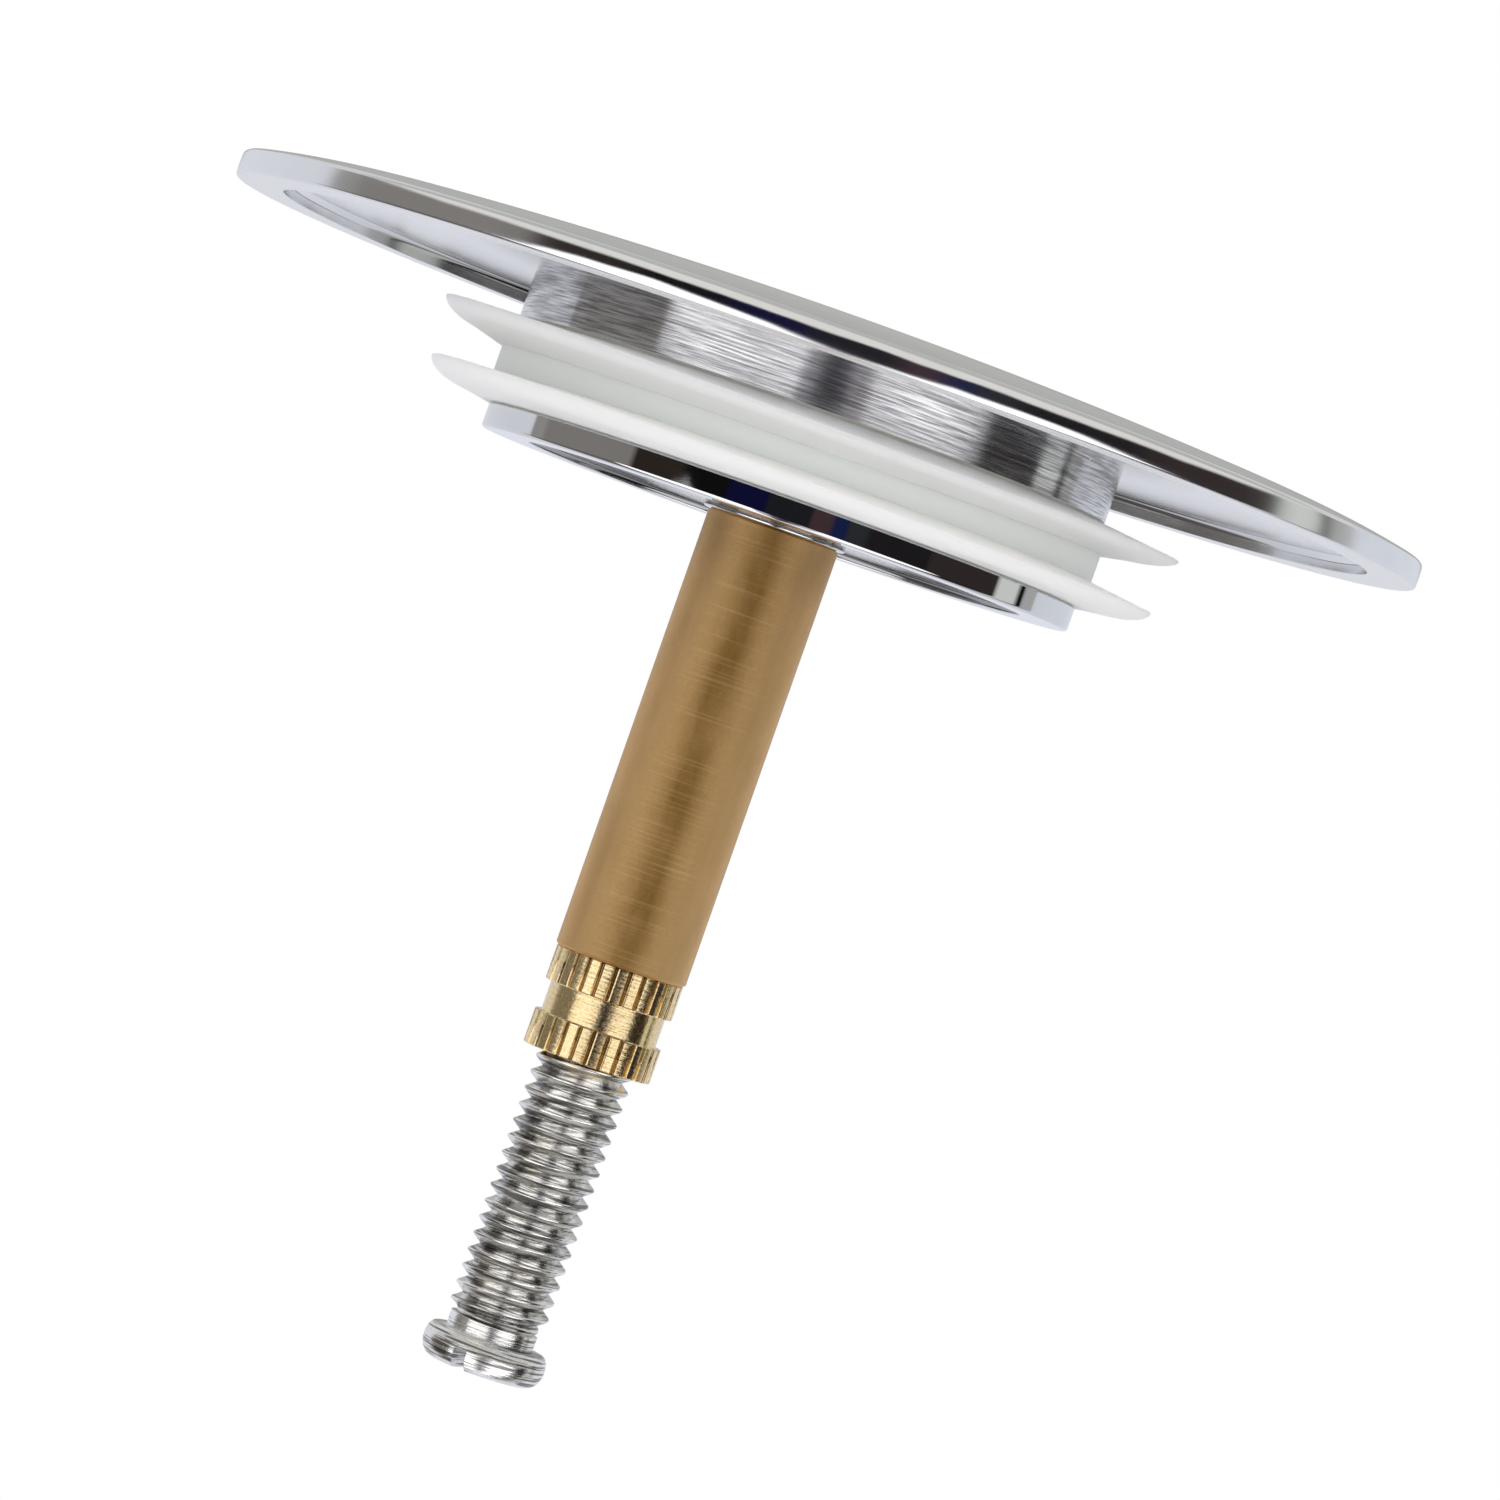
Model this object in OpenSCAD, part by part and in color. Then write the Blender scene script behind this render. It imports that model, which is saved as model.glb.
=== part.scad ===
// Pop-up bath plug: a domed cap over a two-fin seal, on a tapped stem whose
// slotted screw sets the closing height and is held by a knurled locknut.
// The frame's origin is the centre of the cap's rim, in the plane of its underside, +Z up.

/* [Cap] */
// Outer diameter of the cap
cap_d = 72.8; // [60:0.2:90]
// Height of the rim's upright edge
rim_h = 1.6; // [1.4:0.05:3]
// Rise of the dome above the rim
dome_rise = 2.3; // [0.8:0.1:4]
// Rounding of the rim's outer edges
rim_round = 0.3; // [0.1:0.05:0.5]
// Width of the rim's underside, from its outer edge to the recess
lip_w = 3; // [1.5:0.1:4]
// Width of the flat ring that rests round the drain, beside the recess
rest_w = 0.4; // [0.2:0.1:1.1]
// Height by which the rim's outer edge stands above the flat ring
edge_rise = 0.15; // [0.05:0.05:0.3]
// Depth of the recess just inside the rim
recess_h = 1.05; // [0.8:0.05:1.2]
// Further rise of the recess up to its flat middle
recess_rise = 0.05; // [0:0.05:0.7]
// Blend between the recess and the rim's inner wall
recess_blend = 0.3; // [0.1:0.05:0.5]
// Diameter of the threaded boss under the cap
boss_d = 12; // [10:0.5:16]

/* [Hub] */
// Outer diameter of the hub and of the retaining flange below it
hub_d = 36.2; // [32:0.1:36.4]
// Height of the spacer hub
hub_h = 3.5; // [3:0.05:6]
// Bevel of the hub's lower edge
hub_bevel = 0.15; // [0.05:0.05:0.4]

/* [Seal] */
// Height of the seal's groove between hub and flange
groove_h = 5; // [4.8:0.1:7]
// Diameter of the seal's core
seal_core_d = 37; // [36.6:0.1:40]
// Diameter across the upper fin
upper_fin_d = 45.5; // [42:0.1:50]
// Diameter across the lower fin
lower_fin_d = 44.6; // [42:0.1:50]
// Thickness of a fin at its root
fin_root_t = 1.7; // [1.2:0.1:2]
// Thickness of a fin at its tip
fin_tip_t = 0.65; // [0.4:0.05:0.8]
// Height by which a fin's tip hangs below the top of its root
fin_droop = 0.35; // [0.1:0.05:0.4]
// Radial width of the slanted face at a fin's tip
fin_slant = 0.7; // [0.2:0.1:1]

/* [Retaining flange] */
// Thickness of the retaining flange
flange_t = 1.5; // [1.4:0.05:3]
// Height of the rounded lower edge of the flange
flange_round = 0.2; // [0.2:0.05:0.6]
// Width of the flange's flat bottom ring
flange_ring_w = 2.7; // [0.5:0.1:4]
// Depth of the recess under the flange
flange_recess = 0.4; // [0.2:0.05:0.4]
// Diameter of the spigot that carries the seal
spigot_d = 26; // [20:0.5:30]
// Outer diameter of the washer round the top of the stem
washer_d = 8.7; // [8.6:0.1:10]

/* [Stem] */
// Outer diameter of the stem
stem_d = 8; // [7.6:0.1:10]
// Length of the stem
stem_l = 27; // [24:0.05:40]
// Bevel at both ends of the stem
stem_bevel = 0.2; // [0.1:0.05:0.3]

/* [Threads] */
// Pitch of the stud's and the screw's thread
pitch = 1; // [0.8:0.05:1.2]
// Diameter over the crests of an outer thread
crest_d = 5.88; // [5.6:0.02:5.92]
// Depth of an outer thread
thread_h = 0.56; // [0.4:0.02:0.7]
// Width of the flat on each crest
crest_w = 0.12; // [0.05:0.01:0.3]
// Diameter of a tapped hole
tapped_d = 6; // [5.96:0.02:6.2]

/* [Centre stud] */
// Length of the hidden stud that holds the head together
stud_l = 16; // [15:0.5:17]
// Part of the stud inside the cap's boss
stud_in_cap = 3.6; // [3:0.1:4]

/* [Locknut] */
// Diameter over the locknut's knurl
nut_d = 7.8; // [7.4:0.1:10]
// Height of the locknut
nut_h = 6; // [4:0.1:8]
// Diameter of the plain groove between the knurled bands
nut_groove_d = 7.05; // [6.9:0.05:7.1]
// Height of the plain groove
nut_groove_h = 1.8; // [1:0.1:2.4]
// Number of ribs round the knurl
ribs = 28; // [20:1:36]
// Width of the furrow between two ribs
furrow_w = 0.3; // [0.15:0.05:0.4]
// Depth of the furrow between two ribs
furrow_h = 0.22; // [0.1:0.02:0.3]
// Height of the slight bevel at both ends of each knurled band
nut_bevel_h = 0.35; // [0.1:0.05:0.4]
// Radial depth of that bevel
nut_bevel_w = 0.06; // [0.02:0.02:0.2]

/* [Adjusting screw] */
// Length of the screw under its head
screw_l = 35; // [33:0.5:40]
// Free length of screw between locknut and head
free_l = 17.1; // [17:0.1:20]
// Height of the plain neck under the head
neck_h = 0.95; // [0.5:0.05:1.5]
// Diameter of the plain neck
neck_d = 5.3; // [5:0.1:5.8]
// Largest diameter of the head
head_d = 7.44; // [6.8:0.04:7.8]
// Height of the head
head_h = 2; // [1.8:0.1:2.4]
// Height of the head's widest level above its end
head_wide_h = 1.1; // [1:0.05:1.25]
// Radius of the head's bulging side
head_bulge = 1.3; // [1.2:0.05:1.4]
// Width of the screwdriver slot
slot_w = 0.85; // [0.6:0.05:1.2]
// Depth of the screwdriver slot
slot_h = 1.2; // [0.6:0.1:1.2]
// Turn of the slot about the axis, in degrees
slot_turn = -21; // [-90:1:90]

/* [Clearances] */
// Radial gap between the seal and its spigot
seal_slip = 0.04; // [0.02:0.01:0.08]
// Gap above and below the seal in its groove
seal_end_gap = 0.03; // [0.02:0.01:0.08]
// Radial step from the hub's side to the edge of its seat in the cap
seat_gap = 0.05; // [0.02:0.01:0.2]
// Radial gap round the cap's boss in the hub
boss_gap = 0.1; // [0.05:0.05:0.3]
// Gap between the boss's end and the seal's spigot
boss_end_gap = 0.1; // [0.05:0.05:0.2]
// Radial gap of the stud in the flange and the washer
stud_gap = 0.15; // [0.1:0.05:0.3]
// Gap above the stud in its blind hole
stud_end_gap = 0.2; // [0.1:0.05:0.5]

/* [Hidden] */
$fn = 120;

// How far a cut runs past the faces that it opens
cut_over = 1;

// Heights from the rim's underside
seat_z = recess_h + recess_rise;
hub_bottom = seat_z - hub_h;
flange_top = hub_bottom - groove_h;
flange_bottom = flange_top - flange_t;
stem_bottom = flange_bottom - stem_l;
nut_bottom = stem_bottom - nut_h;
head_top = nut_bottom - free_l;
head_bottom = head_top - head_h;
screw_top = head_top + screw_l;
boss_bottom = hub_bottom + boss_end_gap;
stud_top = boss_bottom + stud_in_cap;
stud_bottom = stud_top - stud_l;

// Radii that several pieces share
rim_r = cap_d / 2;
recess_r = rim_r - lip_w;
crest_r = crest_d / 2;
root_r = crest_r - thread_h;
passage_r = crest_r + stud_gap;
seat_r = hub_d / 2 + seat_gap;

// The dome's arc starts at the rim's rounded edge
dome_half = rim_r - rim_round;
dome_r = (dome_half * dome_half + dome_rise * dome_rise) / (2 * dome_rise);
dome_steps = 18;

// Height of the dome at a distance from the axis
function dome_z(r) = rim_h + dome_rise - dome_r + sqrt(dome_r * dome_r - r * r);

module cap_outline() {
    polygon([
        [0, 0],
        [recess_r + rest_w, 0],
        [rim_r - rim_round, edge_rise],
        [rim_r - rim_round, rim_h],
        [0, rim_h]
    ]);
    translate([0, edge_rise + rim_round]) square([rim_r, rim_h - edge_rise - 2 * rim_round]);
    for (z = [edge_rise + rim_round, rim_h - rim_round])
        translate([rim_r - rim_round, z]) circle(rim_round);
    polygon(concat(
        [[0, rim_h / 2], [dome_half, rim_h / 2]],
        [for (i = [dome_steps:-1:0]) [i / dome_steps * dome_half, dome_z(i / dome_steps * dome_half)]]
    ));
}

module cap_recess() {
    polygon([
        [0, -cut_over],
        [recess_r, -cut_over],
        [recess_r, recess_h - recess_blend],
        [recess_r - recess_blend, recess_h],
        [seat_r, seat_z],
        [0, seat_z]
    ]);
}

module cap() {
    bore_end = stud_top + stud_end_gap;
    color("silver") rotate_extrude() difference() {
        union() {
            difference() {
                cap_outline();
                cap_recess();
            }
            translate([0, boss_bottom]) square([boss_d / 2, bore_end - boss_bottom]);
        }
        translate([0, boss_bottom - cut_over])
            square([tapped_d / 2, bore_end - boss_bottom + cut_over]);
    }
}

module hub() {
    color("gainsboro") rotate_extrude() polygon([
        [boss_d / 2 + boss_gap, hub_bottom],
        [hub_d / 2 - hub_bevel, hub_bottom],
        [hub_d / 2, hub_bottom + hub_bevel],
        [hub_d / 2, seat_z],
        [boss_d / 2 + boss_gap, seat_z]
    ]);
}

module seal() {
    top = hub_bottom - seal_end_gap;
    bottom = flange_top + seal_end_gap;
    bore_r = spigot_d / 2 + seal_slip;
    core_r = seal_core_d / 2;
    lower_root = bottom + fin_root_t;
    color("whitesmoke") rotate_extrude() polygon([
        [bore_r, top],
        [core_r, top],
        [upper_fin_d / 2, top - fin_droop],
        [upper_fin_d / 2 - fin_slant, top - fin_droop - fin_tip_t],
        [core_r, top - fin_root_t],
        [core_r, lower_root],
        [lower_fin_d / 2, lower_root - fin_droop],
        [lower_fin_d / 2 - fin_slant, lower_root - fin_droop - fin_tip_t],
        [core_r, bottom],
        [bore_r, bottom]
    ]);
}

module retaining_flange() {
    outer_r = hub_d / 2;
    ring_r = outer_r - flange_round;
    color("lightsteelblue") rotate_extrude() difference() {
        union() {
            translate([0, flange_bottom + flange_round])
                square([outer_r, flange_t - flange_round]);
            translate([0, flange_bottom]) square([ring_r, flange_t]);
            translate([ring_r, flange_bottom + flange_round]) circle(flange_round);
            translate([0, flange_bottom]) square([spigot_d / 2, hub_bottom - flange_bottom]);
        }
        translate([0, flange_bottom - cut_over])
            square([ring_r - flange_ring_w, flange_recess + cut_over]);
        translate([0, flange_bottom - cut_over])
            square([passage_r, hub_bottom - flange_bottom + 2 * cut_over]);
    }
}

module flange_washer() {
    color("silver") translate([0, 0, flange_bottom]) difference() {
        cylinder(h = flange_recess, r = washer_d / 2);
        translate([0, 0, -cut_over]) cylinder(h = flange_recess + 2 * cut_over, r = passage_r);
    }
}

// Ring-shaped ridges that stand for an outer thread, bevelled at the top end
module threaded_rod(bottom, top) {
    turns = floor((top - bottom - pitch / 2) / pitch);
    flank_w = (pitch - crest_w) / 2;
    first = top - pitch / 2;
    color("darkgray") rotate_extrude() polygon(concat(
        [[0, bottom], [root_r, bottom]],
        [for (i = [turns - 1:-1:0], p = [
            [root_r, pitch], [crest_r, pitch - flank_w + crest_w / 2],
            [crest_r, pitch - flank_w - crest_w / 2]
        ]) [p[0], first - i * pitch - p[1]]],
        [[root_r, first], [root_r, top - thread_h / 2], [root_r - thread_h / 2, top], [0, top]]
    ));
}

module centre_stud() {
    threaded_rod(stud_bottom, stud_top);
}

module stem() {
    color("peru") rotate_extrude() polygon([
        [tapped_d / 2, stem_bottom],
        [stem_d / 2 - stem_bevel, stem_bottom],
        [stem_d / 2, stem_bottom + stem_bevel],
        [stem_d / 2, flange_bottom - stem_bevel],
        [stem_d / 2 - stem_bevel, flange_bottom],
        [tapped_d / 2, flange_bottom]
    ]);
}

// Half of the locknut's section: two bands with bevelled ends and a groove between them
module nut_section() {
    band_h = (nut_h - nut_groove_h) / 2;
    square([nut_groove_d / 2, nut_h]);
    for (z = [0, nut_h - band_h])
        translate([0, z]) polygon([
            [0, 0],
            [nut_d / 2 - nut_bevel_w, 0],
            [nut_d / 2, nut_bevel_h],
            [nut_d / 2, band_h - nut_bevel_h],
            [nut_d / 2 - nut_bevel_w, band_h],
            [0, band_h]
        ]);
}

module locknut() {
    color("goldenrod") translate([0, 0, nut_bottom]) difference() {
        rotate_extrude() union() nut_section();
        for (i = [0:ribs - 1])
            rotate(i * 360 / ribs) translate([nut_d / 2 - furrow_h, -furrow_w / 2, -cut_over])
                cube([furrow_h + cut_over, furrow_w, nut_h + 2 * cut_over]);
        translate([0, 0, -cut_over]) cylinder(h = nut_h + 2 * cut_over, r = tapped_d / 2);
    }
}

// Half of the screw head's section, with its widest level at height 0
module head_section() {
    intersection() {
        union() {
            translate([0, -head_bulge]) square([head_d / 2 - head_bulge, 2 * head_bulge]);
            translate([head_d / 2 - head_bulge, 0]) circle(head_bulge);
        }
        translate([0, -head_wide_h]) square([head_d, head_h]);
    }
}

module adjusting_screw() {
    thread_end = head_top + neck_h;
    color("darkgray") difference() {
        union() {
            threaded_rod(thread_end, screw_top);
            translate([0, 0, head_top]) cylinder(h = neck_h, r = neck_d / 2);
            translate([0, 0, head_bottom + head_wide_h]) rotate_extrude() head_section();
        }
        rotate(slot_turn) translate([-slot_w / 2, -head_d, head_bottom - cut_over])
            cube([slot_w, 2 * head_d, slot_h + cut_over]);
    }
}

cap();
hub();
seal();
retaining_flange();
flange_washer();
centre_stud();
stem();
locknut();
adjusting_screw();
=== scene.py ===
"""The looks of a pop-up bath plug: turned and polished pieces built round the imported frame."""
import math
import bmesh
import bpy
from mathutils import Matrix, Vector


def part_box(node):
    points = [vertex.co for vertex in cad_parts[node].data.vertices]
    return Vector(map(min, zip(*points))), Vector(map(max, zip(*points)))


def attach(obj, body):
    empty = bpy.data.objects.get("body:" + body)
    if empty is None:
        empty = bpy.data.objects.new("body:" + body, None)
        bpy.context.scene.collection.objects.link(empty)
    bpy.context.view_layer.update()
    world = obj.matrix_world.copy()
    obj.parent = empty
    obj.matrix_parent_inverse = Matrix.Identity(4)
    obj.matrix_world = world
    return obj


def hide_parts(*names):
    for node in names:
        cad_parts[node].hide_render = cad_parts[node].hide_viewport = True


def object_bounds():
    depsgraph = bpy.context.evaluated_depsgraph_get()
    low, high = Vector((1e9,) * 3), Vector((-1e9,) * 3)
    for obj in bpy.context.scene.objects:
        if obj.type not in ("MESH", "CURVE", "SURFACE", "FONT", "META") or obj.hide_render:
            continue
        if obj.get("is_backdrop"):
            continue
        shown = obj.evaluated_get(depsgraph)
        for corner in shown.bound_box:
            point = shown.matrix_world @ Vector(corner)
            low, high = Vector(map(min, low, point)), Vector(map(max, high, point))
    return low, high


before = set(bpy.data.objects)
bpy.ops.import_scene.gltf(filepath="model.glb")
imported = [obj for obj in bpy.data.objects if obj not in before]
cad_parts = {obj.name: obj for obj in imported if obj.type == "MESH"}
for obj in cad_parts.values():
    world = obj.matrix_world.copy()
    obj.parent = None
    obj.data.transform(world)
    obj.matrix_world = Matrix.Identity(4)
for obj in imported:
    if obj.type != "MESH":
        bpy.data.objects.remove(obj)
cad_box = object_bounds()

MM = 0.001

# Places that the frame gives, in mm
def extent(node):
    low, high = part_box(node)
    return low.z / MM, high.z / MM, high.x / MM


_, DOME_TOP, CAP_R = extent("cap")
HUB_BOTTOM, HUB_TOP, HUB_R = extent("hub")
SEAL_BOTTOM, SEAL_TOP, _ = extent("seal")
FLANGE_BOTTOM, SPIGOT_TOP, FLANGE_R = extent("retaining_flange")
WASHER_BOTTOM, WASHER_TOP, WASHER_R = extent("flange_washer")
STEM_BOTTOM, STEM_TOP, STEM_R = extent("stem")
NUT_BOTTOM, NUT_TOP, NUT_R = extent("locknut")
SCREW_BOTTOM, SCREW_TOP, HEAD_R = extent("adjusting_screw")

# Sizes that the frame doesn't give, in mm
LIP_W = 3.0
RECESS_H = 1.08
BOSS_R = 6.0
THREAD_R = 3.0
PITCH = 1.0
SPIGOT_R = 13.0
CORE_R = 18.5
HIDDEN_GAP = 0.1

# The photograph: where the camera stands and how it is turned
PHOTO_PX = 1500
PX_PER_MM = 17.12
CAMERA_DISTANCE = 390.0
AXIS_OFFSET = 2.967
CAMERA_HEIGHT = -19.805
AIM_HEIGHT = -21.515
ROLL = 19.39
SENSOR = 36.0


# Part of a step by which an arc's first and last points keep the shading of the flats beside it
HOLD = 0.04


def arc(start, radius, normal_from, normal_to, steps=10):
    """Points of an arc that goes on from start. The angles are its outward normal's, and a hollow's radius is
    less than 0."""
    a0, a1 = math.radians(normal_from), math.radians(normal_to)
    centre = (start[0] - radius * math.cos(a0), start[1] - radius * math.sin(a0))
    places = [HOLD, *range(1, steps), steps - HOLD, steps]
    angles = [a0 + (a1 - a0) * i / steps for i in places]
    return [(centre[0] + radius * math.cos(a), centre[1] + radius * math.sin(a)) for a in angles]


def outline(*parts):
    """Joins points and arcs. A part that is a tuple of arc's arguments goes on from the last point."""
    points = []
    for part in parts:
        if isinstance(part, dict):
            points += arc(points[-1], **part)
        else:
            points.append(part)
    return points


def face_outwards(mesh):
    """Turns the faces of a closed mesh round if they look inwards."""
    shell = bmesh.new()
    shell.from_mesh(mesh)
    if shell.calc_volume(signed=True) < 0:
        bmesh.ops.reverse_faces(shell, faces=shell.faces)
        shell.to_mesh(mesh)
    shell.free()


def make_mesh(name, vertices, faces, sharp=35):
    mesh = bpy.data.meshes.new(name)
    mesh.from_pydata([(x * MM, y * MM, z * MM) for x, y, z in vertices], [], faces)
    mesh.update()
    face_outwards(mesh)
    mesh.shade_smooth()
    mesh.set_sharp_from_angle(angle=math.radians(sharp))
    piece = bpy.data.objects.new(name, mesh)
    bpy.context.scene.collection.objects.link(piece)
    return piece


def revolve(name, points, sides=256, shape=None, sharp=35, painted_shading_at=None):
    """A closed outline of (radius, height) turned about the Z axis. shape(angle, r, z) may move its points.
    The last argument, a function of (angle, r, z), gives the attribute that the materials read to paint light
    or shade into the colour there."""
    vertices, rings, painted_shading = [], [], []
    for r, z in points:
        if r < 1e-6:
            rings.append([len(vertices)] * sides)
            vertices.append((0, 0, z))
            painted_shading.append(painted_shading_at(0, 0, z) if painted_shading_at else 0)
            continue
        rings.append(list(range(len(vertices), len(vertices) + sides)))
        for i in range(sides):
            a = 2 * math.pi * i / sides
            rr, zz = shape(a, r, z) if shape else (r, z)
            vertices.append((rr * math.sin(a), -rr * math.cos(a), zz))
            painted_shading.append(painted_shading_at(a, rr, zz) if painted_shading_at else 0)
    faces = []
    for k, ring in enumerate(rings):
        above = rings[(k + 1) % len(rings)]
        if len(set(ring)) == 1 and len(set(above)) == 1:
            continue
        for i in range(sides):
            j = (i + 1) % sides
            corners = [ring[i], ring[j], above[j], above[i]]
            faces.append(list(dict.fromkeys(corners)))
    piece = make_mesh(name, vertices, faces, sharp)
    piece.data.attributes.new("painted_shading", "FLOAT", "POINT").data.foreach_set("value", painted_shading)
    return piece


def dress(piece, body, nodes, material):
    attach(piece, body)
    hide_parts(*nodes)
    piece.data.materials.clear()
    piece.data.materials.append(material)


# Materials
class Nodes:
    """Short calls for a material's nodes. A value may be a number, a tuple or another node's output."""

    def __init__(self, name, tree=None):
        if tree is None:
            self.material = bpy.data.materials.new(name)
            self.material.use_nodes = True
            tree = self.material.node_tree
            self.shader = next(n for n in tree.nodes if n.type == "BSDF_PRINCIPLED")
        self.tree = tree

    def add(self, kind, values=None, **settings):
        node = self.tree.nodes.new("ShaderNode" + kind)
        for key, value in settings.items():
            setattr(node, key, value)
        for key, value in (values or {}).items():
            self.put(node.inputs[key], value)
        return node

    def put(self, socket, value):
        if isinstance(value, bpy.types.NodeSocket):
            self.tree.links.new(value, socket)
        elif isinstance(value, tuple) and socket.type == "RGBA":
            socket.default_value = (*value, 1)
        else:
            socket.default_value = value

    def set(self, **values):
        for key, value in values.items():
            self.put(self.shader.inputs[key.replace("_", " ").title().replace("Ior", "IOR")], value)

    def maths(self, operation, a, b=0.0):
        return self.add("Math", {0: a, 1: b}, operation=operation).outputs[0]

    def noise(self, stretch, detail=2.0, shift=(0.0, 0.0, 0.0)):
        """Noise from 0 to 1 whose cells are 1/stretch metres long in x, y and z."""
        place = self.add("TexCoord").outputs["Object"]
        moved = self.add("Mapping", {"Vector": place, "Scale": stretch, "Location": shift}).outputs[0]
        return self.add("TexNoise", {"Vector": moved, "Scale": 1.0, "Detail": detail}).outputs[0]

    def spread(self, value, low, high, to_low=0.0, to_high=1.0):
        values = {"Value": value, "From Min": low, "From Max": high, "To Min": to_low, "To Max": to_high}
        return self.add("MapRange", values).outputs[0]

    def mix(self, factor, a, b):
        node = self.tree.nodes.new("ShaderNodeMix")
        node.data_type = "RGBA"
        for socket, value in ((node.inputs[0], factor), (node.inputs[6], a), (node.inputs[7], b)):
            self.put(socket, value)
        return node.outputs[2]

    def bump(self, height, depth, under=None):
        values = {"Height": height, "Distance": depth, "Strength": 1.0}
        if under is not None:
            values["Normal"] = under
        return self.add("Bump", values).outputs[0]

    # The attribute that marks where the materials paint light or shade into the colour
    def painted_shading(self):
        return self.add("Attribute", attribute_name="painted_shading").outputs["Fac"]

    def specks(self, per_metre, size, share, shift=0.0):
        """1 on scattered round specks: size as a part of a cell, share of the cells that have one."""
        place = self.add("TexCoord").outputs["Object"]
        moved = self.add("Mapping", {"Vector": place, "Location": (shift, shift, shift)}).outputs[0]
        cells = self.add("TexVoronoi", {"Vector": moved, "Scale": per_metre})
        near = self.maths("LESS_THAN", cells.outputs["Distance"], size)
        split = self.add("SeparateColor", {0: cells.outputs["Color"]}).outputs[0]
        return self.maths("MULTIPLY", near, self.maths("LESS_THAN", split, share))

    def round_the_axis(self, anisotropic, rotation=0.25):
        """Highlights drawn out as by turning marks round the Z axis, or with rotation 0 along such marks."""
        self.set(anisotropic=anisotropic, anisotropic_rotation=rotation)
        tangent = self.add("Tangent", direction_type="RADIAL", axis="Z")
        self.put(self.shader.inputs["Tangent"], tangent.outputs[0])

    def height_above_rim(self):
        """The object's own Z in metres."""
        return self.add("SeparateXYZ", {0: self.add("TexCoord").outputs["Object"]}).outputs["Z"]


CHROME = (0.85, 0.85, 0.85)
CHROME_SMUDGED = (0.81, 0.81, 0.815)
DUST = (0.95, 0.95, 0.93)

# The level of the attribute for painted shade on a recess's side wall at the front and the back, and the
# wall's dark tone there, which is painted shade. The recess's ceiling has 1
WALL_SHADE_LEVEL = 0.3
WALL_PAINTED_SHADE = 0.26
# The ring that rests round the drain: its upper end in metres, its brighter tone, which is a painted
# highlight, and its roughness
REST_Z = 4e-5
REST_PAINTED_HIGHLIGHT = (0.98, 0.98, 0.96)
REST_SATIN = 0.4


def polished_chrome(name, shine, ripple, satin, ceiling, specks_shift, rest_z=-1.0, drawn=0.0):
    """Plated chrome: faint smudges and ripples, dust specks, and duller recesses. A recess's wall can get a
    dark tone, which is painted shade, and its ceiling the given ceiling tone: painted shade where that is
    darker than the chrome, a painted reflection where it is brighter. Under rest_z it is a bright satin,
    where the rim rests round the drain, and its brighter tone there is a painted highlight. drawn is the
    roughness by which its polish draws the mirrored room out round the axis."""
    n = Nodes(name)
    smudge = n.spread(n.noise((260, 260, 260), 4, (specks_shift, 0, 0)), 0.45, 0.7)
    dust = n.specks(420, 0.035, 0.05, specks_shift)
    clean = n.mix(smudge, tuple(c * shine for c in CHROME), tuple(c * shine for c in CHROME_SMUDGED))
    # Painted shade: the recess's wall darkened at the front and back, then the ceiling's painted tone
    clean = n.mix(n.spread(n.painted_shading(), 0, WALL_SHADE_LEVEL), clean, (WALL_PAINTED_SHADE,) * 3)
    clean = n.mix(n.spread(n.painted_shading(), WALL_SHADE_LEVEL, 1), clean, (ceiling,) * 3)
    # Painted highlight: under rest_z the chrome is painted a brighter tone, and made satin
    rest = n.maths("LESS_THAN", n.height_above_rim(), rest_z)
    clean = n.mix(rest, clean, REST_PAINTED_HIGHLIGHT)
    n.set(metallic=1.0, base_color=n.mix(dust, clean, DUST))
    rough = n.maths("MAXIMUM", n.spread(smudge, 0, 1, 0.02, 0.05), n.maths("MULTIPLY", n.painted_shading(), satin))
    rough = n.maths("MAXIMUM", rough, n.maths("MULTIPLY", rest, REST_SATIN))
    if drawn:
        plain = n.maths("MAXIMUM", rest, n.spread(n.painted_shading(), 0, WALL_SHADE_LEVEL / 2))
        n.round_the_axis(n.maths("SUBTRACT", 1, plain), 0.0)
        rough = n.maths("MAXIMUM", rough, drawn)
    n.set(roughness=n.maths("MAXIMUM", rough, n.maths("MULTIPLY", dust, 0.5)))
    waves = n.bump(n.noise((170, 170, 420), 1.5, (0, specks_shift, 0)), ripple)
    n.set(normal=n.bump(n.noise((9000, 9000, 9000), 2), 1.5e-7, waves))
    return n.material


# Slope of the hub's turning marks, and the depth of its streaks in metres
TURNING_LEAN = 0.06
STREAK_DEPTH = 9e-6


def turned_chrome():
    """Chrome over a turned surface: fine streaks round the axis, whose marks lean a little downwards, and a
    bevel painted a bright beige, which is a painted reflection.
    """
    n = Nodes("turned_chrome")
    streak = n.noise((330, 330, 9200), 3)
    broad = n.noise((90, 90, 700), 2, (5, 2, 1))
    tone = n.mix(n.spread(streak, 0.36, 0.64), (0.24, 0.235, 0.24), (0.83, 0.825, 0.83))
    tone = n.mix(n.spread(broad, 0.35, 0.7, 0, 0.4), tone, (0.54, 0.535, 0.54))
    # Painted reflection: the bevel at the hub's foot painted a bright beige
    tone = n.mix(n.painted_shading(), tone, (0.95, 0.93, 0.88))
    n.set(metallic=1.0, base_color=n.mix(n.specks(700, 0.05, 0.02, 0.3), tone, (0.96, 0.96, 0.95)))
    n.set(roughness=n.spread(broad, 0.3, 0.7, 0.12, 0.17))
    n.round_the_axis(1.0)
    lean = n.maths("MULTIPLY", n.height_above_rim(), TURNING_LEAN)
    n.set(normal=n.bump(n.maths("ADD", lean, n.maths("MULTIPLY", streak, STREAK_DEPTH)), 1.0))
    return n.material


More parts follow.
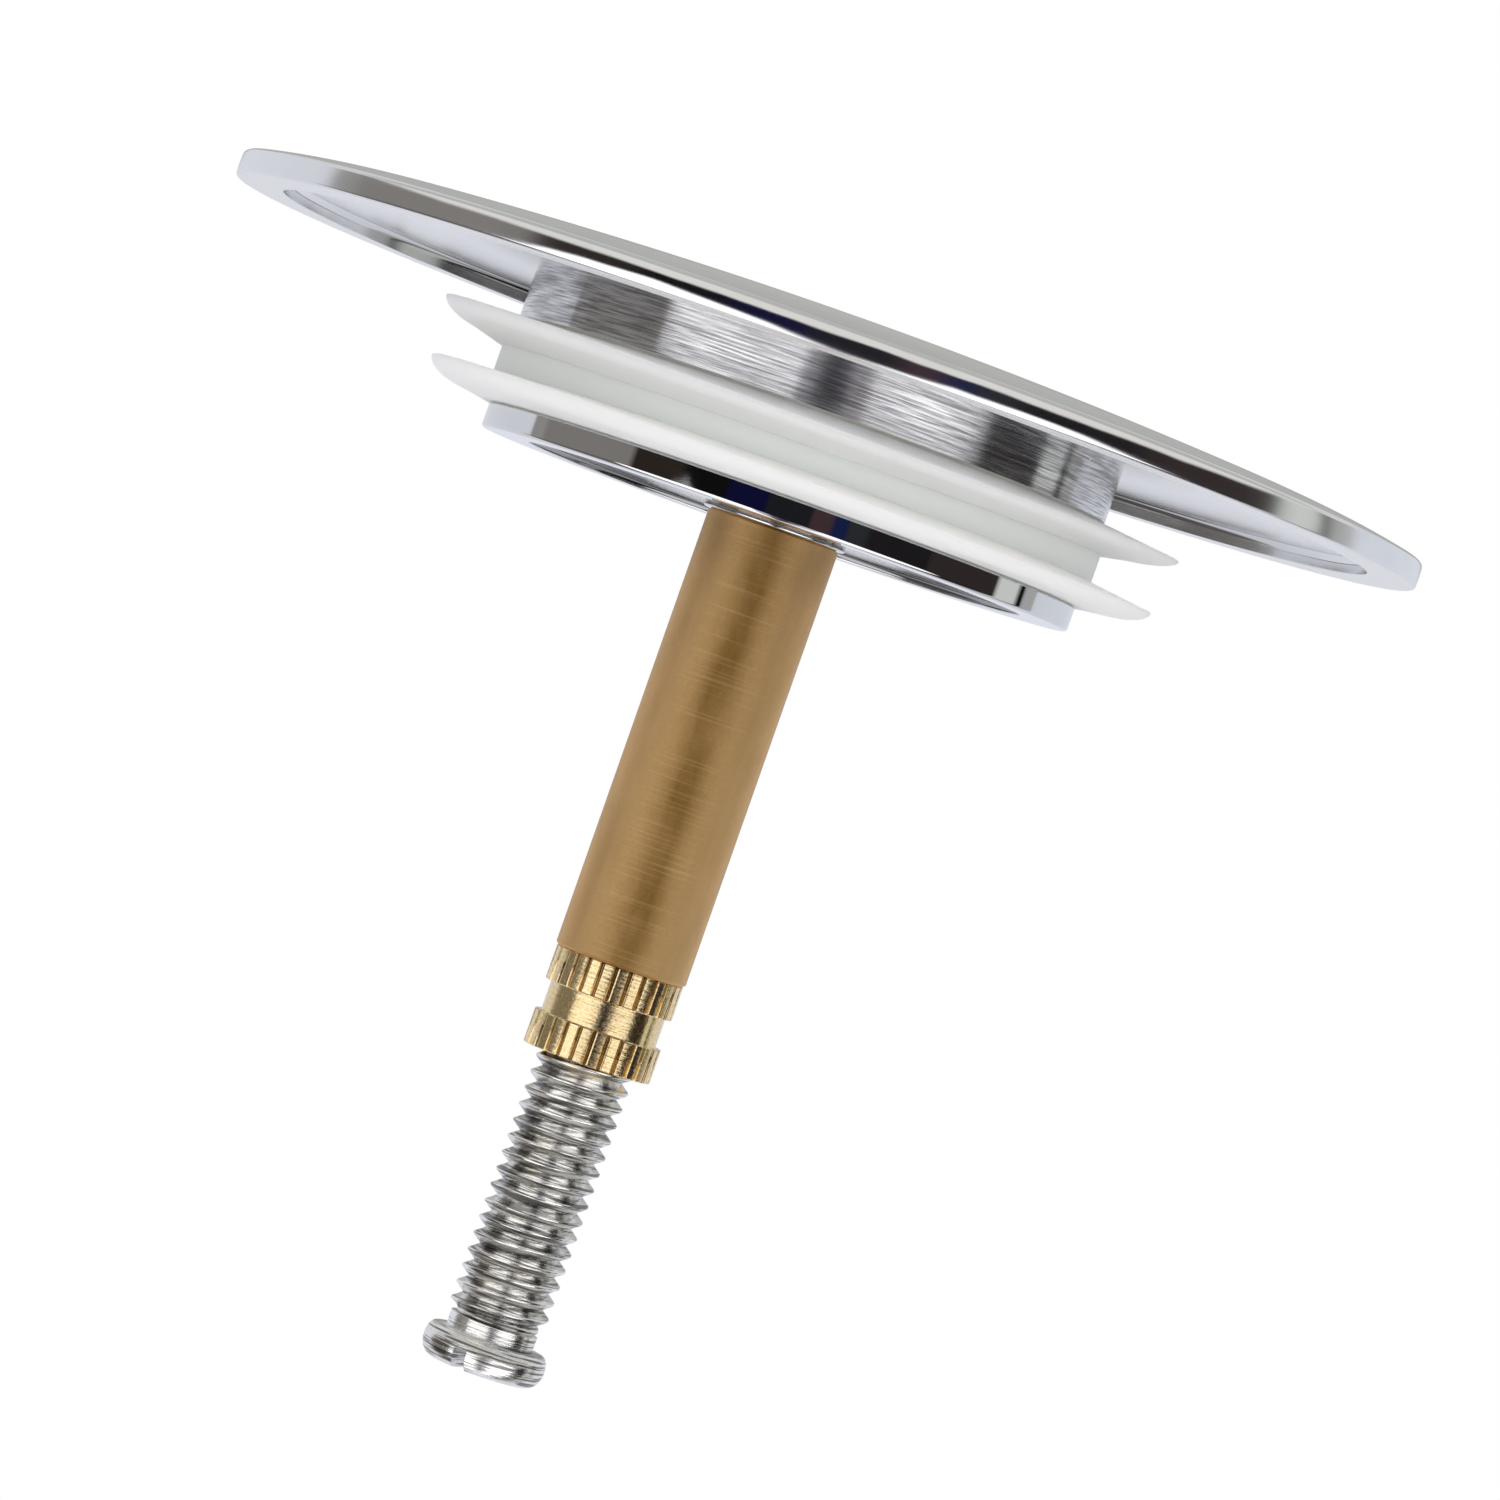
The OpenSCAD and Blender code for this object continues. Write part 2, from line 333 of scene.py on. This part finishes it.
def silicone():
    """Milky silicone: soft light through the fins, faint clouds, moulding waves and a little grit. The thick
    core is painted darker, as painted shade between the fins, and a little green."""
    n = Nodes("seal_silicone")
    cloud = n.noise((140, 140, 420), 3, (2, 4, 1))
    grit = n.specks(520, 0.045, 0.035, 0.7)
    milk = n.mix(n.spread(cloud, 0.35, 0.7), (0.98, 0.965, 0.93), (0.99, 0.975, 0.94))
    # Painted shade: the core between the fins painted darker and a little green
    milk = n.mix(n.painted_shading(), milk, (0.825, 0.85, 0.83))
    n.set(base_color=n.mix(grit, milk, (0.55, 0.52, 0.47)), roughness=n.spread(cloud, 0.3, 0.7, 0.36, 0.48))
    n.set(subsurface_weight=1.0, subsurface_scale=0.003, subsurface_radius=(1.0, 1.0, 0.95))
    fine = n.noise((2600, 2600, 2600), 3)
    n.set(normal=n.bump(fine, 6e-6, n.bump(n.noise((300, 300, 900), 2, (1, 1, 8)), 3e-5)))
    return n.material


# Angle of one of the stem's darker streaks, which are a painted reflection, from the side of the camera
REFLECTION_STREAK_AT = math.radians(1)


def stem_brass():
    """Dull drawn brass: rings of turning marks, fine glints and three darker streaks along the stem, which
    are a painted reflection.
    """
    n = Nodes("stem_brass")
    mark = n.noise((130, 130, 9000), 3, (1, 6, 2))
    grain = n.noise((5200, 5200, 5200), 3)
    mottle = n.noise((520, 520, 260), 4, (8, 3, 5))
    place = n.add("SeparateXYZ", {0: n.add("TexCoord").outputs["Object"]})
    turn = n.maths("ARCTAN2", place.outputs["X"], n.maths("MULTIPLY", place.outputs["Y"], -1))
    # Painted reflection: three darker streaks round the stem, set from the camera's side
    streak = n.maths("PINGPONG", n.maths("SUBTRACT", turn, REFLECTION_STREAK_AT), math.pi / 3)
    tone = n.mix(n.spread(streak, 0.1, 0.75), (0.28, 0.155, 0.042), (0.80, 0.53, 0.25))
    tone = n.mix(n.spread(mottle, 0.35, 0.75, 0, 0.45), tone, (0.60, 0.38, 0.16))
    tone = n.mix(n.spread(mark, 0.55, 0.75, 0, 0.35), tone, (0.78, 0.55, 0.29))
    n.set(metallic=1.0, base_color=tone, roughness=n.spread(grain, 0.3, 0.7, 0.52, 0.64))
    n.round_the_axis(0.2)
    n.set(normal=n.bump(grain, 1.1e-5, n.bump(mark, 4e-6)))
    return n.material


def nut_brass():
    """Bright turned brass, painted dark in the furrows of its knurl as painted shade."""
    n = Nodes("nut_brass")
    mark = n.noise((200, 200, 7000), 3, (4, 4, 1))
    grain = n.noise((5600, 5600, 5600), 4, (1, 0, 0))
    tone = n.mix(n.spread(grain, 0.35, 0.7), (0.78, 0.56, 0.26), (0.97, 0.82, 0.50))
    # Painted shade: the furrows of the knurl painted dark brown
    tone = n.mix(n.painted_shading(), tone, (0.30, 0.18, 0.07))
    n.set(metallic=1.0, base_color=tone, roughness=n.spread(grain, 0.3, 0.7, 0.10, 0.2))
    n.round_the_axis(0.4)
    n.set(normal=n.bump(grain, 5e-6, n.bump(mark, 6e-6)))
    return n.material


def screw_steel():
    """Plain rolled steel: bright crests, dark roots, which are painted shade, and fine lines along the
    thread.
    """
    n = Nodes("screw_steel")
    line = n.noise((260, 260, 7800), 2, (2, 2, 3))
    grain = n.noise((4800, 4800, 6500), 4)
    tone = n.mix(n.spread(grain, 0.35, 0.7), (0.88, 0.87, 0.84), (1.0, 0.99, 0.97))
    stain = n.noise((420, 420, 300), 2, (7, 1, 3))
    tone = n.mix(n.spread(stain, 0.5, 0.7, 0, 0.4), tone, (0.72, 0.64, 0.50))
    tone = n.mix(n.spread(line, 0.5, 0.42, 0, 0.85), tone, (0.10, 0.095, 0.09))
    # Painted shade: the thread's roots painted a little darker
    n.set(metallic=1.0, base_color=n.mix(n.maths("MULTIPLY", n.painted_shading(), 0.15), tone, (0.30, 0.295, 0.28)))
    n.set(roughness=n.spread(grain, 0.3, 0.7, 0.16, 0.26))
    n.set(normal=n.bump(line, 3.5e-5, n.bump(grain, 7e-6)))
    return n.material


# The cap's recess ceiling is painted brighter than the chrome, a painted reflection; the flange's recess is
# painted dark, as painted shade
CAP_CHROME = polished_chrome("cap_chrome", 1.0, 1.6e-5, 0.25, 0.97, 0.0, REST_Z, 0.085)
FLANGE_CHROME = polished_chrome("flange_chrome", 0.9, 3e-6, 0.1, 0.34, 1.7)
TURNED_CHROME = turned_chrome()
SILICONE = silicone()
STEM_BRASS = stem_brass()
NUT_BRASS = nut_brass()
SCREW_STEEL = screw_steel()


# The cap: domed above, with a gently rounded rim and a shallow recess below. SIDE_TOP, SIDE_MIDDLE and
# SIDE_BOTTOM say by how many degrees the normal of the rim's side points upwards there
DOME_R = 331.0
DOME_DROP = 0.09
DOME_EDGE_R = 31.6
SHOULDER_R = 35.0
RIM_EDGE_R = 36.09
RIM_ROUND = 0.31
UPPER_SWELL = 7.5
LOWER_SWELL = 8.0
SIDE_TOP = 4.5
SIDE_MIDDLE = 1.7
SIDE_BOTTOM = -3.4
EDGE_ROUND = 0.19
UNDER_SLOPE = 0.6
LIP_ROUND = 0.12
LIP_FILLET = 0.5


def make_cap():
    lip_r = CAP_R - LIP_W
    blind_top = HUB_TOP + HIDDEN_GAP
    boss_bottom = HUB_BOTTOM + HIDDEN_GAP
    steep = math.degrees(math.asin(DOME_EDGE_R / DOME_R))
    steeper = math.degrees(math.asin(DOME_EDGE_R / DOME_R + (RIM_EDGE_R - DOME_EDGE_R) / SHOULDER_R))
    side = [dict(radius=DOME_R, normal_from=90, normal_to=90 - steep, steps=24),
            dict(radius=SHOULDER_R, normal_from=90 - steep, normal_to=90 - steeper, steps=16),
            dict(radius=RIM_ROUND, normal_from=90 - steeper, normal_to=SIDE_TOP),
            dict(radius=UPPER_SWELL, normal_from=SIDE_TOP, normal_to=SIDE_MIDDLE),
            dict(radius=LOWER_SWELL, normal_from=SIDE_MIDDLE, normal_to=SIDE_BOTTOM, steps=16),
            dict(radius=EDGE_ROUND, normal_from=SIDE_BOTTOM, normal_to=UNDER_SLOPE - 90)]
    shell = outline((0, DOME_TOP - DOME_DROP), *side)
    under = outline(
        (lip_r + LIP_ROUND, 0), dict(radius=LIP_ROUND, normal_from=UNDER_SLOPE - 90, normal_to=-180, steps=6),
        (lip_r, RECESS_H - LIP_FILLET), dict(radius=-LIP_FILLET, normal_from=180, normal_to=270),
        (HUB_R + 0.05, HUB_TOP), (BOSS_R, HUB_TOP), (BOSS_R, boss_bottom), (THREAD_R, boss_bottom),
        (THREAD_R, blind_top), (0, blind_top))

    # Painted shade on the recess's wall at the front and back, and the painted tone of its ceiling
    def painted_shading_at(a, r, z):
        if z > HUB_TOP + 0.01 or r > lip_r + 0.01:
            return 0.0
        return 1.0 if z > RECESS_H - 0.05 else WALL_SHADE_LEVEL * math.cos(a) ** 2

    piece = revolve("cap_shell", shell + under, 512, painted_shading_at=painted_shading_at)
    dress(piece, "head", ["cap"], CAP_CHROME)


def make_hub():
    bevel = 0.2

    # The bevel at the hub's foot gets a painted reflection
    def painted_shading_at(a, r, z):
        return 1.0 if z < HUB_BOTTOM + bevel + 0.01 else 0.0

    bore = BOSS_R + HIDDEN_GAP
    points = outline((bore, HUB_BOTTOM), (HUB_R - bevel, HUB_BOTTOM), (HUB_R, HUB_BOTTOM + bevel),
                     (HUB_R, HUB_BOTTOM + bevel + 0.02), (HUB_R, HUB_TOP), (bore, HUB_TOP))
    dress(revolve("hub_spacer", points, 384, painted_shading_at=painted_shading_at), "head", ["hub"], TURNED_CHROME)


# The seal: its soft fins sag in front and stand higher on one side than on the other
FACE_W = 1.9
FACE_TURNS = [math.radians(turn) for turn in range(90, 0, -10)]
SAG_POWER = 1.5
CURL_REACH = 1.2


class Fin:
    """A fin: its tip, its thickness, how far it leans to one side, how deep it sags and at what angle, how
    much wider it is on one side, and how its tip curls."""

    def __init__(self, tip_r, tip_z, thick, lean, sag, sag_at, grow, curl):
        self.tip_r, self.tip_z, self.thick = tip_r, tip_z, thick
        self.lean, self.sag, self.sag_at, self.grow, self.curl = lean, sag, sag_at, grow, curl

    def section(self, root_top, root_bottom):
        """From the lower root round the rounded end face and the thin tip to the upper root."""
        r, z, thick = self.tip_r, self.tip_z, self.thick
        face = [(r - FACE_W * (1 - math.cos(t)), z - thick * math.sin(t)) for t in FACE_TURNS]
        tip = [(r - 0.02, z - 0.03), (r - 0.08, z)]
        return [(CORE_R, root_bottom), (CORE_R + 0.2, root_bottom + 0.03), *face, *tip, (CORE_R, root_top)]

    def wave(self, a, r, z):
        """How much farther out and higher a point stands at an angle."""
        reach = max(0.0, (r - CORE_R) / (self.tip_r - CORE_R))
        dip = self.sag * max(0.0, math.cos(a - math.radians(self.sag_at))) ** SAG_POWER
        below_tip = min(1.0, max(0.0, self.tip_z - z))
        curl = self.curl * (1 + math.sin(a)) / 2 * below_tip * min(1.0, reach * CURL_REACH)
        return reach * self.grow * math.sin(a) - curl, reach * (self.lean * (1 - math.sin(a)) - dip) + curl


UPPER_FIN = Fin(22.75, SEAL_TOP - 0.46, 0.84, 0.29, 0.55, 0, 0.2, 0.25)
LOWER_FIN = Fin(22.3, SEAL_BOTTOM + 1.18, 0.98, 0.155, 0.35, 15, 0.1, 0.1)
UPPER_ROOT = SEAL_TOP - 1.62
UPPER_ROOT_SAG = 0.36
LOWER_ROOT = SEAL_BOTTOM + 1.58


def make_seal():
    bore = SPIGOT_R + 0.04
    points = [(bore, SEAL_TOP), (bore, SEAL_BOTTOM), *LOWER_FIN.section(LOWER_ROOT, SEAL_BOTTOM),
              *UPPER_FIN.section(SEAL_TOP, UPPER_ROOT)]
    middle = (LOWER_ROOT + UPPER_ROOT) / 2

    def wave(a, r, z):
        fin = UPPER_FIN if z > middle else LOWER_FIN
        wider, higher = fin.wave(a, r, z)
        if middle < z < UPPER_ROOT + 0.1:
            higher -= UPPER_ROOT_SAG * max(0.0, math.cos(a)) ** SAG_POWER
        return r + wider, z + higher

    # The core between the fins gets painted shade
    def painted_shading_at(a, r, z):
        return 1.0 if r < CORE_R + 0.1 else 0.0

    piece = revolve("seal_ring", points, 256, wave, 50, painted_shading_at)
    dress(piece, "seal", ["seal"], SILICONE)


RECESS_DEPTH = 0.4
RECESS_FILLET = 0.25
RECESS_EDGE = 0.08
FLANGE_ROUND = 0.2
FLANGE_BEVEL = 0.13
FLANGE_RING_W = 2.7


def make_flange():
    groove_top = SEAL_BOTTOM - 0.03
    bore = THREAD_R + 0.09
    ceiling = FLANGE_BOTTOM + RECESS_DEPTH
    recess_r = FLANGE_R - FLANGE_ROUND - FLANGE_RING_W
    points = outline(
        (bore, SPIGOT_TOP), (bore, ceiling), (recess_r - RECESS_FILLET, ceiling),
        dict(radius=-RECESS_FILLET, normal_from=-90, normal_to=-180),
        (recess_r, FLANGE_BOTTOM + RECESS_EDGE),
        dict(radius=RECESS_EDGE, normal_from=180, normal_to=270, steps=5),
        (FLANGE_R - FLANGE_ROUND, FLANGE_BOTTOM), dict(radius=FLANGE_ROUND, normal_from=-90, normal_to=0),
        (FLANGE_R, groove_top - FLANGE_BEVEL), (FLANGE_R - FLANGE_BEVEL, groove_top), (SPIGOT_R, groove_top),
        (SPIGOT_R, SPIGOT_TOP))

    # The recess under the flange gets painted shade
    def painted_shading_at(a, r, z):
        return 1.0 if r < recess_r + 0.01 and FLANGE_BOTTOM + 0.1 < z < ceiling + 0.01 else 0.0

    piece = revolve("flange_disc", points, 384, painted_shading_at=painted_shading_at)
    dress(piece, "head", ["retaining_flange"], FLANGE_CHROME)
    ring = outline((bore, WASHER_TOP), (bore, WASHER_BOTTOM), (WASHER_R - 0.1, WASHER_BOTTOM),
                   dict(radius=0.1, normal_from=-90, normal_to=0, steps=5), (WASHER_R, WASHER_TOP))
    dress(revolve("flange_ring", ring, 192), "head", ["flange_washer"], FLANGE_CHROME)


def make_stem():
    bevel = 0.15
    points = outline((THREAD_R, STEM_TOP), (THREAD_R, STEM_BOTTOM), (STEM_R - bevel, STEM_BOTTOM),
                     (STEM_R, STEM_BOTTOM + bevel), (STEM_R, STEM_TOP - bevel), (STEM_R - bevel, STEM_TOP))
    dress(revolve("stem_tube", points, 192), "head", ["stem"], STEM_BRASS)


# The locknut: two knurled bands with a plain groove between them
RIBS = 28
FURROW_PHASE = -1.1
FURROW_DEPTH = 0.22
FURROW_HALF = 0.15
POINTS_PER_RIB = 18
GROOVE_R = 3.525
BAND_H = 2.1


def make_locknut():
    sides = RIBS * POINTS_PER_RIB

    def knurl(a):
        """How deep the furrows are at an angle, from 0 on a rib to 1 in a furrow."""
        turn = (math.degrees(a) - FURROW_PHASE) / 360 * RIBS
        away = abs(turn - round(turn))
        return max(0.0, 1 - (away / FURROW_HALF) ** 2.2)

    def shape(a, r, z):
        if r < GROOVE_R + 0.01:
            return r, z
        return r - FURROW_DEPTH * knurl(a), z

    # The furrows of the knurl get painted shade
    def painted_shading_at(a, r, z):
        return knurl(a) if r > GROOVE_R + 0.01 else 0.0

    bevel = 0.06
    bands = []
    for low in (NUT_BOTTOM, NUT_TOP - BAND_H):
        bands += [(GROOVE_R, low), (NUT_R - bevel, low), (NUT_R, low + bevel), (NUT_R, low + BAND_H - bevel),
                  (NUT_R - bevel, low + BAND_H), (GROOVE_R, low + BAND_H)]
    points = outline((THREAD_R, NUT_TOP), (THREAD_R, NUT_BOTTOM), *bands)
    piece = revolve("locknut_body", points, sides, shape, painted_shading_at=painted_shading_at)
    dress(piece, "locknut", ["locknut"], NUT_BRASS)


# The adjusting screw: a helical thread, a plain neck and a bulging slotted head
CREST_R = 2.935
THREAD_DEPTH = 0.58
HAND = 1
CREST_PHASE = 0.153
LEVELS_PER_PITCH = 28
SCREW_SIDES = 96
NECK_R = 2.65
HEAD_H = 2.0
NECK_H = 0.95
HEAD_WIDE_H = 1.12
SLOT_W = 0.85
SLOT_H = 1.2
SLOT_TURN = -21


def head_section(head_top):
    """The bulging head from the middle of its end to the neck."""
    wide = SCREW_BOTTOM + HEAD_WIDE_H
    lower = [(HEAD_R - 0.8 * (1 - math.cos(t)), wide - HEAD_WIDE_H * math.sin(t))
             for t in (math.pi / 2 * (1 - i / 10) for i in range(10))]
    upper = [(HEAD_R - 0.42 * (1 - math.cos(t)), wide + (HEAD_H - HEAD_WIDE_H) * math.sin(t))
             for t in (math.pi / 2 * i / 10 for i in range(11))]
    return [(0, SCREW_BOTTOM), *lower, *upper, (NECK_R, head_top)]


def thread_section(a, z, bottom):
    """Radius of the helical thread: its crest rises by one pitch a turn, to the right for HAND 1."""
    turn = z / PITCH - HAND * a / (2 * math.pi) + CREST_PHASE
    away = abs(turn - round(turn)) * 2
    ridge = min(1.0, max(0.0, (1 - away) / 0.88))
    fade = min(1.0, max(0.0, (z - bottom) / 0.6), max(0.0, (SCREW_TOP - z) / 0.6))
    return CREST_R - THREAD_DEPTH + THREAD_DEPTH * ridge * fade


def make_screw():
    head_top = SCREW_BOTTOM + HEAD_H
    neck_top = head_top + NECK_H
    levels = int((SCREW_TOP - neck_top) / PITCH * LEVELS_PER_PITCH)
    thread = [(NECK_R, neck_top + (SCREW_TOP - neck_top) * i / levels) for i in range(levels + 1)]

    def on_thread(r, z):
        return r > 0 and z > neck_top - 1e-6

    def shape(a, r, z):
        return (thread_section(a, z, neck_top), z) if on_thread(r, z) else (r, z)

    # The thread's roots get painted shade, more of it deeper down the flank
    def painted_shading_at(a, r, z):
        return (CREST_R - r) / THREAD_DEPTH if on_thread(r, z) else 0.0

    points = [*head_section(head_top), (NECK_R, neck_top - 0.01), *thread, (0, SCREW_TOP)]
    piece = revolve("screw_body", points, SCREW_SIDES, shape, 60, painted_shading_at)
    cutter = make_mesh("slot_cutter", *box_mesh((SLOT_W, 3 * HEAD_R, 2 * SLOT_H), (0, 0, SCREW_BOTTOM)))
    cutter.rotation_euler.z = math.radians(SLOT_TURN)
    cut = piece.modifiers.new("slot", "BOOLEAN")
    cut.operation = "DIFFERENCE"
    cut.solver = "EXACT"
    cut.object = cutter
    bpy.context.view_layer.update()
    evaluated = piece.evaluated_get(bpy.context.evaluated_depsgraph_get())
    mesh = bpy.data.meshes.new_from_object(evaluated)
    mesh.set_sharp_from_angle(angle=math.radians(60))
    piece.modifiers.clear()
    piece.data = mesh
    bpy.data.objects.remove(cutter)
    dress(piece, "screw", ["adjusting_screw"], SCREW_STEEL)


def box_mesh(size, centre):
    corners = [(x, y, z) for x in (-0.5, 0.5) for y in (-0.5, 0.5) for z in (-0.5, 0.5)]
    vertices = [tuple(c[i] * size[i] + centre[i] for i in range(3)) for c in corners]
    return vertices, [(0, 1, 3, 2), (4, 6, 7, 5), (0, 4, 5, 1), (2, 3, 7, 6), (0, 2, 6, 4), (1, 5, 7, 3)]


# The studio: a camera, a pale floor, and a light tent that the metal mirrors
def make_camera():
    data = bpy.data.cameras.new("camera")
    camera = bpy.data.objects.new("camera", data)
    bpy.context.scene.collection.objects.link(camera)
    bpy.context.scene.camera = camera
    data.sensor_width = SENSOR
    data.lens = SENSOR * CAMERA_DISTANCE / (PHOTO_PX / PX_PER_MM)
    camera.location = Vector((AXIS_OFFSET, -CAMERA_DISTANCE, CAMERA_HEIGHT)) * MM
    aim = Vector((AXIS_OFFSET, 0, AIM_HEIGHT)) * MM
    turn = (aim - camera.location).to_track_quat("-Z", "Y")
    camera.rotation_mode = "QUATERNION"
    camera.rotation_quaternion = turn @ Matrix.Rotation(math.radians(ROLL), 3, "Z").to_quaternion()
    data.clip_start = 0.01
    data.clip_end = 20


def display(level):
    """The light that shows as this 8-bit level."""
    s = level / 255
    return s / 12.92 if s <= 0.04045 else ((s + 0.055) / 1.055) ** 2.4


# The light tent that the chrome mirrors. Each panel has the azimuth where it starts, in degrees from the
# camera's side towards +X, and the colour that chrome shows there
HORIZON = [(-180, (205, 208, 215)), (-112, (140, 138, 136)), (-104, (122, 119, 116)), (-59, (42, 36, 32)),
           (-38, (15, 14, 15)), (-20, (14, 14, 48)), (-5, (27, 28, 32)), (12, (62, 46, 50)),
           (20, (22, 30, 66)), (26, (40, 42, 45)), (34, (28, 26, 28)), (60, (46, 40, 39)),
           (94, (198, 201, 198)), (106.8, (15, 15, 15)), (110.6, (165, 165, 165)), (119, (205, 209, 217))]
LOW = [(-180, (208, 210, 219)), (-117, (140, 138, 136)), (-112, (98, 94, 92)), (-66, (282, 282, 286)),
       (-9, (180, 178, 184)), (-3, (96, 93, 100)), (1, (66, 64, 72)), (5, (110, 106, 114)),
       (9, (190, 188, 194)), (17, (282, 282, 286)), (66, (34, 32, 38)), (94, (190, 193, 190)),
       (106.8, (15, 15, 15)), (110.6, (165, 165, 165)), (119, (208, 210, 219))]
STRIP = [(-180, (165, 167, 163)), (-165, (205, 208, 215)), (-118, (214, 212, 209)), (118, (205, 208, 215)),
         (165, (165, 167, 163))]
HIGH = [(-180, (167, 168, 165)), (-150, (200, 202, 206)), (-110, (177, 178, 176)), (110, (200, 202, 206)),
        (150, (167, 168, 165))]
# Heights in degrees of the horizon panels' lower and upper ends, at azimuths round the tent
HORIZON_BOTTOM = [(-180, 0), (-119, 0), (-110, -8), (-68, -8), (-58, -1.1), (-48, 0.2), (-36, 1.0),
                  (-26, -0.2), (-15, -1.4), (-6, -3.3), (1, -5), (8, -5), (17, -3.6), (22, -2.1), (31, -1.2),
                  (40, -0.4), (49, -1.2), (57, -2.6), (65, -8), (110, -8), (119, 0), (180, 0)]
HORIZON_TOP = [(-180, 3.5), (-165, 3.5), (-150, 11), (-119, 11), (-90, 8), (-20, 6.6), (20, 6.6), (90, 8),
               (119, 11), (150, 11), (165, 3.5), (180, 3.5)]
STRIP_H = 5.5
PANEL_EDGE = 0.7
TOP_EDGE = 0.8
HEIGHT_SPAN = 20.0
CHROME_GAIN = 1 / CHROME[0]


def tent_colour(shown):
    return (*[display(c) * CHROME_GAIN for c in shown], 1)


def ramp(n, place, stops):
    """A ramp through stops of (position from 0 to 1, RGBA)."""
    node = n.add("ValToRGB", {"Fac": place})
    elements = node.color_ramp.elements
    elements.remove(elements[1])
    for i, (position, colour) in enumerate(stops):
        element = elements.new(position) if i else elements[0]
        element.position = position
        element.color = colour
    return node.outputs["Color"]


def panels(n, turn, wall):
    stops = [(0.0, tent_colour(wall[0][1]))]
    for (_, last), (start, shown) in zip(wall, wall[1:]):
        stops += [((start - PANEL_EDGE + 180) / 360, tent_colour(last)),
                  ((start + PANEL_EDGE + 180) / 360, tent_colour(shown))]
    return ramp(n, turn, stops)


def height(n, turn, line):
    """The height in degrees of a line of (azimuth, height) points."""
    grey = [(level + HEIGHT_SPAN) / (2 * HEIGHT_SPAN) for _, level in line]
    stops = [((azimuth + 180) / 360, (level, level, level, 1)) for (azimuth, _), level in zip(line, grey)]
    return n.spread(ramp(n, turn, stops), 0, 1, -HEIGHT_SPAN, HEIGHT_SPAN)


# Level of the white room's light, and energy, width and height in degrees of the soft light in front
ROOM_LIGHT = 0.85
FRONT_LIGHT = 1.0
FRONT_SPREAD = 60
FRONT_RISE = -12


def make_world():
    world = bpy.data.worlds.new("studio")
    bpy.context.scene.world = world
    world.use_nodes = True
    world.node_tree.nodes.clear()
    n = Nodes("studio", world.node_tree)
    split = n.add("SeparateXYZ", {0: n.add("TexCoord").outputs["Generated"]})
    turn = n.maths("ARCTAN2", split.outputs["X"], n.maths("MULTIPLY", split.outputs["Y"], -1))
    turn = n.spread(turn, -math.pi, math.pi)
    elevation = n.maths("MULTIPLY", n.maths("ARCSINE", split.outputs["Z"]), 180 / math.pi)

    def over(line, more=0.0):
        """0 under a line, 1 over it."""
        above = n.maths("SUBTRACT", n.maths("SUBTRACT", elevation, height(n, turn, line)), more)
        return n.spread(above, -TOP_EDGE, TOP_EDGE)

    seen = n.mix(over(HORIZON_BOTTOM), panels(n, turn, LOW), panels(n, turn, HORIZON))
    seen = n.mix(over(HORIZON_TOP), seen, panels(n, turn, STRIP))
    seen = n.mix(over(HORIZON_TOP, STRIP_H), seen, panels(n, turn, HIGH))
    path = n.add("LightPath")
    mirrored = n.maths("MAXIMUM", path.outputs["Is Glossy Ray"], path.outputs["Is Transmission Ray"])
    tent = n.add("Background", {"Color": seen}).outputs[0]
    level = n.spread(path.outputs["Is Camera Ray"], 0, 1, ROOM_LIGHT, 1)
    plain = n.add("Background", {"Color": (1.0, 1.0, 1.0), "Strength": level}).outputs[0]
    n.add("OutputWorld", {0: n.add("MixShader", {0: mirrored, 1: plain, 2: tent}).outputs[0]})


def make_lamp():
    """A wide soft light from the camera's side, which the metal doesn't mirror."""
    data = bpy.data.lights.new("front_light", "SUN")
    data.energy = FRONT_LIGHT
    data.angle = math.radians(FRONT_SPREAD)
    lamp = bpy.data.objects.new("front_light", data)
    bpy.context.scene.collection.objects.link(lamp)
    lamp.rotation_euler = (math.radians(90 - FRONT_RISE), 0, 0)
    lamp.visible_glossy = False


# The floor: a pale disc of paper that fades out between two parts of its radius
FLOOR_Z = -200.0
FLOOR_R = 700.0
FLOOR_SIDES = 96
FADE_FROM = 0.2
FADE_TO = 0.95


def make_floor():
    angles = [2 * math.pi * i / FLOOR_SIDES for i in range(FLOOR_SIDES)]
    vertices = [(FLOOR_R * math.sin(a), FLOOR_R * math.cos(a), FLOOR_Z) for a in angles]
    floor = make_mesh("floor", vertices, [tuple(reversed(range(FLOOR_SIDES)))])
    n = Nodes("floor_paper")
    n.set(base_color=(0.9, 0.9, 0.9), roughness=0.9)
    away = n.add("VectorMath", {0: n.add("TexCoord").outputs["Object"]}, operation="LENGTH").outputs["Value"]
    fade = n.spread(away, FADE_FROM * FLOOR_R * MM, FADE_TO * FLOOR_R * MM)
    clear = n.maths("MAXIMUM", fade, n.add("LightPath").outputs["Is Glossy Ray"])
    through = n.add("BsdfTransparent").outputs[0]
    mix = n.add("MixShader", {0: clear, 1: n.shader.outputs[0], 2: through}).outputs[0]
    output = next(node for node in n.tree.nodes if node.type == "OUTPUT_MATERIAL")
    n.put(output.inputs["Surface"], mix)
    floor.data.materials.append(n.material)
    floor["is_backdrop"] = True


make_camera()
make_world()
make_lamp()
make_floor()
make_cap()
make_hub()
make_seal()
make_flange()
make_stem()
make_locknut()
make_screw()
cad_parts["centre_stud"].data.materials.clear()
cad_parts["centre_stud"].data.materials.append(SCREW_STEEL)
bpy.context.scene.view_settings.view_transform = "Standard"

bpy.context.view_layer.update()
[[list(corner) for corner in box] for box in (cad_box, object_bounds())]
